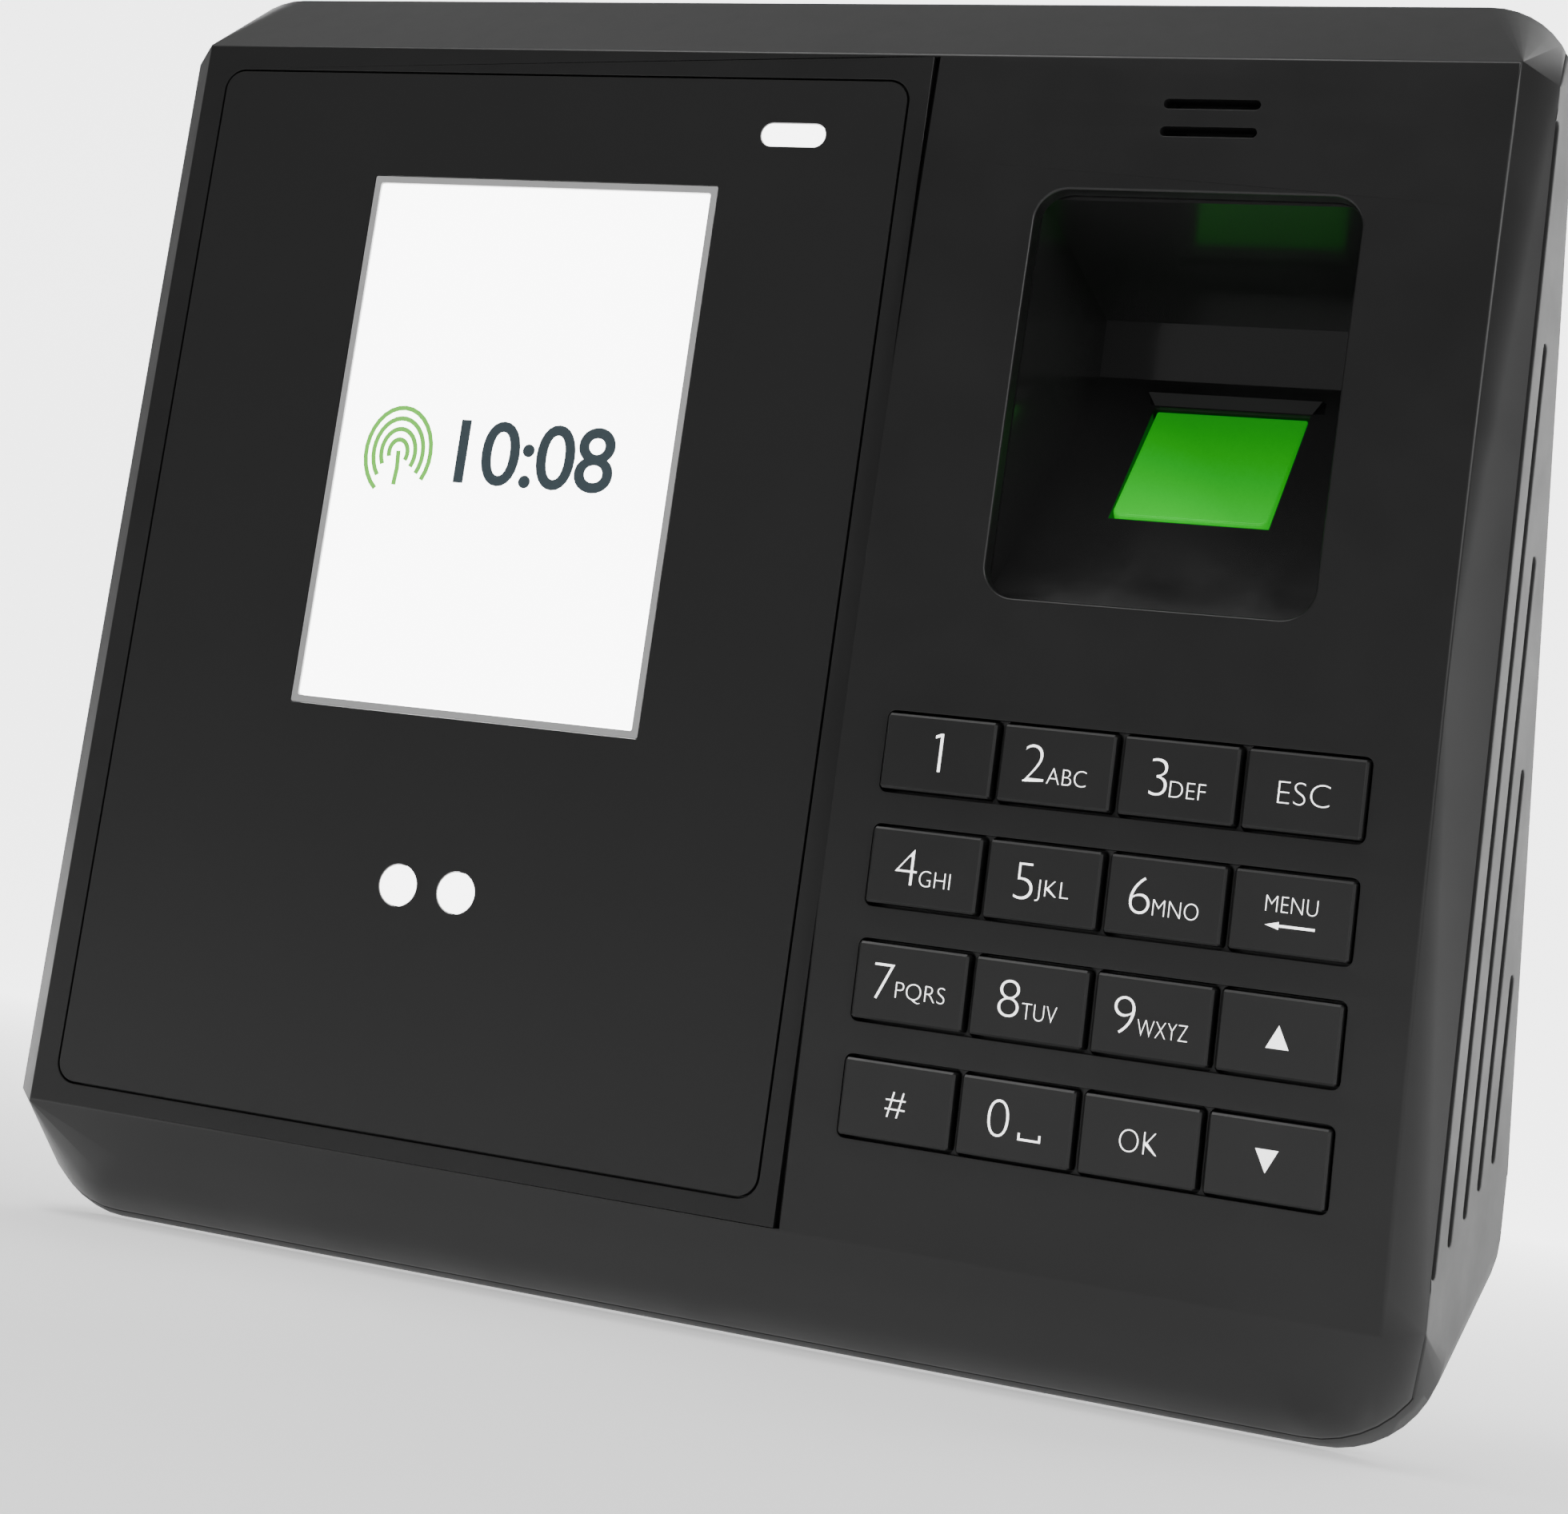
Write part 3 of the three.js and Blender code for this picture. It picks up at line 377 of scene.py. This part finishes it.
def on_outline(edge, middle):
    if not edge.is_convex or middle.y > OUTLINE["shoulder"] - SHOULDER_MARGIN:
        return False
    across = abs(middle.x - OUTLINE["left"]) < NEAR or abs(middle.x - OUTLINE["right"]) < NEAR
    along = abs(middle.z - OUTLINE["top"]) < NEAR or abs(middle.z - OUTLINE["bottom"]) < NEAR
    return across or along


def on_bay_mouth(edge, middle):
    inside_x = BAY["x0"] - NEAR < middle.x < BAY["x1"] + NEAR
    inside_z = BAY["z0"] - NEAR < middle.z < BAY["z1"] + NEAR
    sharp = edge.is_convex and edge.calc_face_angle(0) > STEEP
    return sharp and inside_x and inside_z and middle.y < BAY_MOUTH_Y


def on_small_opening(edge, middle):
    return edge.is_convex and edge.calc_face_angle(0) > STEEP and middle.y < PANEL_FRONT_Y


def on_side_edge(edge, middle):
    return edge.is_convex and abs(middle.x) > SIDE_EDGE_X


# The nodes shown by a rounded copy, with the passes that round each one.
ROUNDINGS = {
    "front_shell": [(0.28, 3, on_outline), (0.35, 3, on_bay_mouth), (0.1, 2, on_small_opening)],
    "rear_shell": [(0.25, 2, on_side_edge)],
    "sensor_bay": [],
}

for node in SLOTS:
    dress(node)
for node, passes in ROUNDINGS.items():
    rounded_copy(node, passes)
for node, piece in NODES.items():
    if node not in ROUNDINGS:
        soften(piece, EDGE_WIDTHS.get(node, KEY_EDGE if node.startswith("key_") else SMALL_EDGE))


# ---------------------------------------------------------------- small pieces
def turn_to(inward):
    """The turn that takes +Y to the inward direction, as the CAD turns its panel pieces."""
    return Vector((0, 1, 0)).rotation_difference(Vector(inward)).to_matrix().to_4x4()


# Text and flat drawings lie in X-Y. This stands them up, to face -Y.
STAND = Matrix.Rotation(math.pi / 2, 4, "X")
PRINT = 0.03 * MM  # thickness of what is printed
CURVE_STEPS = 6  # of the letters' round strokes


def mesh_piece(name, mesh, look, body, place):
    mesh.materials.append(LOOKS[look])
    piece = bpy.data.objects.new(name, mesh)
    bpy.context.scene.collection.objects.link(piece)
    piece.matrix_world = place
    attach(piece, body)


def drawing(outlines, thickness):
    """A flat drawing in X-Y: each outline is a list of points, raised by thickness along +Z."""
    shape = bmesh.new()
    for outline in outlines:
        low = [shape.verts.new((x, y, 0)) for x, y in outline]
        high = [shape.verts.new((x, y, thickness)) for x, y in outline]
        shape.faces.new(list(reversed(low)))
        shape.faces.new(high)
        for i in range(len(outline)):
            j = (i + 1) % len(outline)
            shape.faces.new((low[i], low[j], high[j], high[i]))
    bmesh.ops.recalc_face_normals(shape, faces=shape.faces)
    mesh = bpy.data.meshes.new("drawing")
    shape.to_mesh(mesh)
    shape.free()
    return mesh


def text_mesh(body, size, weight, spacing=1.0):
    """Letters as a thin solid. weight is added to each side of a stroke."""
    curve = bpy.data.curves.new("text", "FONT")
    curve.body = body
    curve.size = size
    curve.offset = weight
    curve.extrude = PRINT * 0.5
    curve.space_character = spacing
    curve.resolution_u = CURVE_STEPS
    holder = bpy.data.objects.new("text", curve)
    bpy.context.scene.collection.objects.link(holder)
    bpy.context.view_layer.update()
    graph = bpy.context.evaluated_depsgraph_get()
    mesh = bpy.data.meshes.new_from_object(holder.evaluated_get(graph))
    bpy.data.objects.remove(holder)
    return mesh


def span_of(mesh):
    xs = [v.co.x for v in mesh.vertices]
    ys = [v.co.y for v in mesh.vertices]
    return min(xs), max(xs), min(ys), max(ys)


def join(meshes):
    """One mesh from (mesh, x, y) parts, each moved so that its lower left corner is at x, y."""
    shape = bmesh.new()
    for mesh, x, y in meshes:
        left, _, bottom, _ = span_of(mesh)
        mesh.transform(Matrix.Translation((x - left, y - bottom, 0)))
        shape.from_mesh(mesh)
    made = bpy.data.meshes.new("joined")
    shape.to_mesh(made)
    shape.free()
    return made


def strip(points, width):
    """The outline of a thin strip along a line of points."""
    left, right = [], []
    for i, point in enumerate(points):
        before = Vector(points[max(i - 1, 0)])
        after = Vector(points[min(i + 1, len(points) - 1)])
        along = (after - before).normalized()
        across = Vector((-along.y, along.x)) * width / 2
        left.append(tuple(Vector(point) + across))
        right.append(tuple(Vector(point) - across))
    return left + right[::-1]


def arc(radius, start, end, steps, squeeze):
    """Points from one angle to another around 0, 0. squeeze narrows the arc."""
    points = []
    for i in range(steps + 1):
        angle = math.radians(start + (end - start) * i / steps)
        points.append((radius * squeeze * math.cos(angle), radius * math.sin(angle)))
    return points


# ---------------------------------------------------------------- key legends
CAP = 0.69  # height of a capital or digit in a text of size 1
DIGIT_HEIGHT = 4.0 * MM
LETTER_HEIGHT = 1.75 * MM
WORD_HEIGHT = 2.4 * MM
MENU_HEIGHT = 1.7 * MM
DIGIT_WEIGHT = -0.15 * MM
LETTER_WEIGHT = -0.06 * MM
WORD_WEIGHT = -0.095 * MM
BASELINE = -1.75 * MM  # of the digits, below the middle of the key
LEGEND_GAP = 0.35 * MM
ARROW = 2.3 * MM
HASH_HEIGHT = 2.7 * MM
HASH_BASELINE = -1.5 * MM
LEGEND_CLEARANCE = 0.01 * MM  # between a key and its legend
FACE_DEPTH = 0.02 * MM  # corners this close to the foremost one lie on the key's front face
# The digit 1: a bar, and a flag that slopes from the bar's top.
ONE_STROKE = 0.3 * MM
FLAG_ROOT = 0.01 * MM
FLAG_REACH = 0.55 * MM
FLAG_DROP = 0.25 * MM
FLAG_INNER_DROP = 0.33 * MM
# The space mark beside the 0: an open tray.
TRAY_WIDTH = 2.4 * MM
TRAY_HEIGHT = 0.75 * MM
TRAY_STROKE = 0.22 * MM
TRAY_GAP = 1.1 * MM
# The arrow below MENU.
MENU_ARROW_HALF = 2.5 * MM
MENU_HEAD = 1.4 * MM
MENU_HEAD_HALF = 0.38 * MM
MENU_LINE_HALF = 0.13 * MM
MENU_BASELINE = 0.1 * MM
MENU_ARROW_BASELINE = -1.6 * MM

DIGITS = {
    "key_1": ("1", ""), "key_2": ("2", "ABC"), "key_3": ("3", "DEF"),
    "key_4": ("4", "GHI"), "key_5": ("5", "JKL"), "key_6": ("6", "MNO"),
    "key_7": ("7", "PQRS"), "key_8": ("8", "TUV"), "key_9": ("9", "WXYZ"),
}
WORDS = {"key_esc": "ESC", "key_ok": "OK"}
WIDTHS = {
    "ABC": 4.2, "DEF": 3.7, "GHI": 3.4, "JKL": 3.5, "MNO": 4.7, "PQRS": 5.4, "TUV": 3.7, "WXYZ": 5.2,
    "ESC": 5.2, "OK": 3.9, "MENU": 5.2,
}


def width_of(mesh):
    left, right, _, _ = span_of(mesh)
    return right - left


def written(body, height, weight):
    """A digit or word, squeezed to its real width where that is known."""
    mesh = text_mesh(body, height / CAP, weight)
    if body in WIDTHS:
        mesh.transform(Matrix.Diagonal((WIDTHS[body] * MM / width_of(mesh), 1, 1, 1)))
    return mesh


def digit_one():
    top = DIGIT_HEIGHT
    bar = [(0, 0), (ONE_STROKE, 0), (ONE_STROKE, top), (0, top)]
    flag = [
        (FLAG_ROOT, top),
        (-FLAG_REACH, top - FLAG_DROP),
        (-FLAG_REACH, top - FLAG_REACH),
        (FLAG_ROOT, top - FLAG_INNER_DROP),
    ]
    return drawing([bar, flag], PRINT)


def digit_legend(digit, letters):
    big = digit_one() if digit == "1" else written(digit, DIGIT_HEIGHT, DIGIT_WEIGHT)
    parts = [(big, 0.0, 0.0)]
    total = width_of(big)
    if letters:
        small = written(letters, LETTER_HEIGHT, LETTER_WEIGHT)
        parts.append((small, total + LEGEND_GAP, 0.0))
        total += LEGEND_GAP + width_of(small)
    return join([(mesh, x - total / 2, y + BASELINE) for mesh, x, y in parts])


def word_legend(word):
    mesh = written(word, WORD_HEIGHT, WORD_WEIGHT)
    return join([(mesh, -width_of(mesh) / 2, -WORD_HEIGHT / 2)])


def hash_legend():
    mesh = written("#", HASH_HEIGHT, LETTER_WEIGHT)
    return join([(mesh, -width_of(mesh) / 2, HASH_BASELINE)])


def zero_legend():
    zero = written("0", DIGIT_HEIGHT, DIGIT_WEIGHT)
    inner = TRAY_WIDTH - TRAY_STROKE
    outside = [(0, 0), (TRAY_WIDTH, 0), (TRAY_WIDTH, TRAY_HEIGHT), (inner, TRAY_HEIGHT)]
    inside = [(inner, TRAY_STROKE), (TRAY_STROKE, TRAY_STROKE), (TRAY_STROKE, TRAY_HEIGHT), (0, TRAY_HEIGHT)]
    tray = drawing([outside + inside], PRINT)
    total = width_of(zero) + TRAY_GAP + TRAY_WIDTH
    return join([(zero, -total / 2, BASELINE), (tray, total / 2 - TRAY_WIDTH, BASELINE)])


def menu_legend():
    word = written("MENU", MENU_HEIGHT, LETTER_WEIGHT)
    half = MENU_ARROW_HALF
    line = MENU_LINE_HALF
    neck = -half + MENU_HEAD
    head = [(-half, 0), (neck, -MENU_HEAD_HALF), (neck, MENU_HEAD_HALF)]
    shaft = [(neck, -line), (half, -line), (half, line), (neck, line)]
    arrow = drawing([head, shaft], PRINT)
    return join([(word, -width_of(word) / 2, MENU_BASELINE), (arrow, -half, MENU_ARROW_BASELINE)])


def triangle_legend(up):
    half = ARROW / 2
    tip = half * up
    return drawing([[(-half, -tip), (half, -tip), (0, tip)]], PRINT)


LEGENDS = {name: digit_legend(*marks) for name, marks in DIGITS.items()}
LEGENDS.update({name: word_legend(word) for name, word in WORDS.items()})
LEGENDS["key_hash"] = hash_legend()
LEGENDS["key_0"] = zero_legend()
LEGENDS["key_menu"] = menu_legend()
LEGENDS["key_up"] = triangle_legend(1)
LEGENDS["key_down"] = triangle_legend(-1)


def key_face(name, inward):
    """The middle of a key's front face."""
    points = [v.co.copy() for v in NODES[name].data.vertices]
    front = min(point.dot(inward) for point in points)
    flat = [point for point in points if point.dot(inward) < front + FACE_DEPTH]
    low = Vector([min(point[i] for point in flat) for i in range(3)])
    high = Vector([max(point[i] for point in flat) for i in range(3)])
    return (low + high) / 2


for key, mesh in LEGENDS.items():
    body = key + "_body"
    inward = Vector(JOINTS[body]["axis"]).normalized()
    middle = key_face(key, inward) - inward * LEGEND_CLEARANCE
    place = Matrix.Translation(middle) @ turn_to(inward) @ STAND
    mesh_piece("legend_" + key[4:], mesh, "print_white", body, place)


# ---------------------------------------------------------------- lip above the sensor window
LIP_RISE = [(0.2, 0.15, 0.1), (1.7, 1.35, 1.3), (2.6, 0.4, 1.5)]  # up the slope, out of it, wider per side


def sensor_lip():
    """A bevelled lip on the bay's slope, along the upper edge of the sensor window."""
    points = [v.co.copy() for v in NODES["sensor_window"].data.vertices]
    top = max(points, key=lambda point: point.z)
    front = min(points, key=lambda point: point.y)
    slope = Vector((0, top.y - front.y, top.z - front.z)).normalized()
    outward = Vector((1, 0, 0)).cross(slope)
    low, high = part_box("sensor_window")
    shape = bmesh.new()
    for up, out, wider in LIP_RISE:
        edge = Vector((0, top.y, top.z)) + slope * up * MM + outward * out * MM
        for x in (low.x - wider * MM, high.x + wider * MM):
            shape.verts.new((x, edge.y, edge.z))
    bmesh.ops.convex_hull(shape, input=shape.verts)
    mesh = bpy.data.meshes.new("sensor_lip")
    shape.to_mesh(mesh)
    shape.free()
    mesh_piece("sensor_lip", mesh, "dark_plastic", "terminal", Matrix.Identity(4))


sensor_lip()


# ---------------------------------------------------------------- idle picture on the screen
PICTURE_CLEARANCE = 0.02 * MM  # between the screen and its picture
RINGS = 4
RING_START = 1.5  # radius of the smallest ring
RING_STEP = 1.25
RING_STROKE = 0.55 * MM
RING_ANGLES = (-35, 200)
RING_TURN = 12  # each ring reaches this many degrees farther than the one inside it
RING_STEPS = 22
RING_SQUEEZE = 0.8
STEM = [(0, -3.8 * MM), (0.15 * MM, -1.8 * MM), (0, 0.2 * MM)]
SIGN_PLACE = (-13.2 * MM, -1.5 * MM)  # from the middle of the screen
CLOCK_PLACE = (-5.6 * MM, -4.6 * MM)
CLOCK_SIZE = 10.4 * MM
CLOCK_WEIGHT = 0.12 * MM
CLOCK_SPACING = 0.95


def idle_picture():
    """A plain fingerprint sign and a clock time, where the terminal shows its idle page."""
    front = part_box("lcd_module")[0].y - PICTURE_CLEARANCE
    frame_low, frame_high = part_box("lcd_frame")
    middle = (frame_low + frame_high) / 2
    strokes = []
    for i in range(RINGS):
        radius = (RING_START + RING_STEP * i) * MM
        ring = arc(radius, RING_ANGLES[0], RING_ANGLES[1] + RING_TURN * i, RING_STEPS, RING_SQUEEZE)
        strokes.append(strip(ring, RING_STROKE))
    strokes.append(strip(STEM, RING_STROKE))
    sign = drawing(strokes, PRINT)
    place = Matrix.Translation((middle.x + SIGN_PLACE[0], front, middle.z + SIGN_PLACE[1])) @ STAND
    mesh_piece("screen_sign", sign, "print_green", "terminal", place)
    clock = join([(text_mesh("10:08", CLOCK_SIZE, CLOCK_WEIGHT, CLOCK_SPACING), 0, 0)])
    place = Matrix.Translation((middle.x + CLOCK_PLACE[0], front, middle.z + CLOCK_PLACE[1])) @ STAND
    mesh_piece("screen_clock", clock, "print_slate", "terminal", place)


idle_picture()


# ---------------------------------------------------------------- floor, backdrop, light and camera
FLOOR_HALF = 1.6
FLOOR_GAP = 0.2 * MM  # below the terminal
SWEEP_START = 0.9  # how far behind the terminal the floor starts to rise
SWEEP_RADIUS = 0.5
SWEEP_TOP = 1.8
SWEEP_STEPS = 12
GLOW_START = -0.05
FLOOR_GLOW = 0.5
BACKDROP_GLOW = 3.2
WORLD_STRENGTH = 0.34
# Each soft light's name, place, size and power. They aim at the terminal's origin.
LIGHTS = [
    ("right_light", (0.85, -0.65, 0.45), (0.25, 0.5), 6),
    ("top_light", (-0.3, -0.38, 1.15), (0.9, 0.3), 7),
]


def studio():
    """A pale floor that sweeps up into a brighter backdrop."""
    made = Nodes("studio_look")
    made.tint(made.noise(3, 2), grey(0.80), grey(0.84))
    made.set(Roughness=0.9, Specular_IOR_Level=0.1, Emission_Color=(1, 1, 1, 1))
    place = made.add("ShaderNodeTexCoord")
    split = made.add("ShaderNodeSeparateXYZ")
    made.link(place.outputs["Object"], split.inputs["Vector"])
    glow = made.add("ShaderNodeMapRange")
    glow.inputs["From Min"].default_value = GLOW_START
    glow.inputs["From Max"].default_value = SWEEP_START
    glow.inputs["To Min"].default_value = FLOOR_GLOW
    glow.inputs["To Max"].default_value = BACKDROP_GLOW
    made.link(split.outputs["Y"], glow.inputs["Value"])
    made.link(glow.outputs["Result"], made.shader.inputs["Emission Strength"])
    floor_z = cad_box[0].z - FLOOR_GAP
    profile = [(-FLOOR_HALF, 0.0), (SWEEP_START, 0.0)]
    for i in range(1, SWEEP_STEPS + 1):
        angle = math.radians(90 * i / SWEEP_STEPS)
        profile.append((SWEEP_START + SWEEP_RADIUS * math.sin(angle), SWEEP_RADIUS * (1 - math.cos(angle))))
    profile.append((SWEEP_START + SWEEP_RADIUS, SWEEP_TOP))
    shape = bmesh.new()
    rows = [[shape.verts.new((side * FLOOR_HALF, y, floor_z + z)) for y, z in profile] for side in (-1, 1)]
    for i in range(len(profile) - 1):
        shape.faces.new((rows[0][i], rows[1][i], rows[1][i + 1], rows[0][i + 1]))
    mesh = bpy.data.meshes.new("studio_floor")
    shape.to_mesh(mesh)
    shape.free()
    for polygon in mesh.polygons:
        polygon.use_smooth = True
    floor = bpy.data.objects.new("studio_floor", mesh)
    bpy.context.scene.collection.objects.link(floor)
    floor.data.materials.append(made.material)


def soft_light(name, place, size, power):
    light = bpy.data.lights.new(name, "AREA")
    light.shape = "RECTANGLE"
    light.size, light.size_y = size
    light.energy = power
    holder = bpy.data.objects.new(name, light)
    bpy.context.scene.collection.objects.link(holder)
    holder.location = place
    holder.rotation_euler = (-Vector(place)).to_track_quat("-Z", "Y").to_euler()


def world_light(strength):
    world = bpy.data.worlds.new("studio_world")
    world.use_nodes = True
    world.node_tree.nodes["Background"].inputs["Color"].default_value = (1, 1, 1, 1)
    world.node_tree.nodes["Background"].inputs["Strength"].default_value = strength
    bpy.context.scene.world = world


def camera():
    data = bpy.data.cameras.new("camera")
    data.lens = CAMERA_LENS
    data.shift_x, data.shift_y = CAMERA_SHIFT
    data.clip_start, data.clip_end = CAMERA_REACH
    holder = bpy.data.objects.new("camera", data)
    bpy.context.scene.collection.objects.link(holder)
    holder.location = [c * MM for c in CAMERA_PLACE]
    holder.rotation_euler = Euler([math.radians(a) for a in CAMERA_TURN], "XYZ")
    bpy.context.scene.camera = holder


studio()
world_light(WORLD_STRENGTH)
for light in LIGHTS:
    soft_light(*light)
camera()
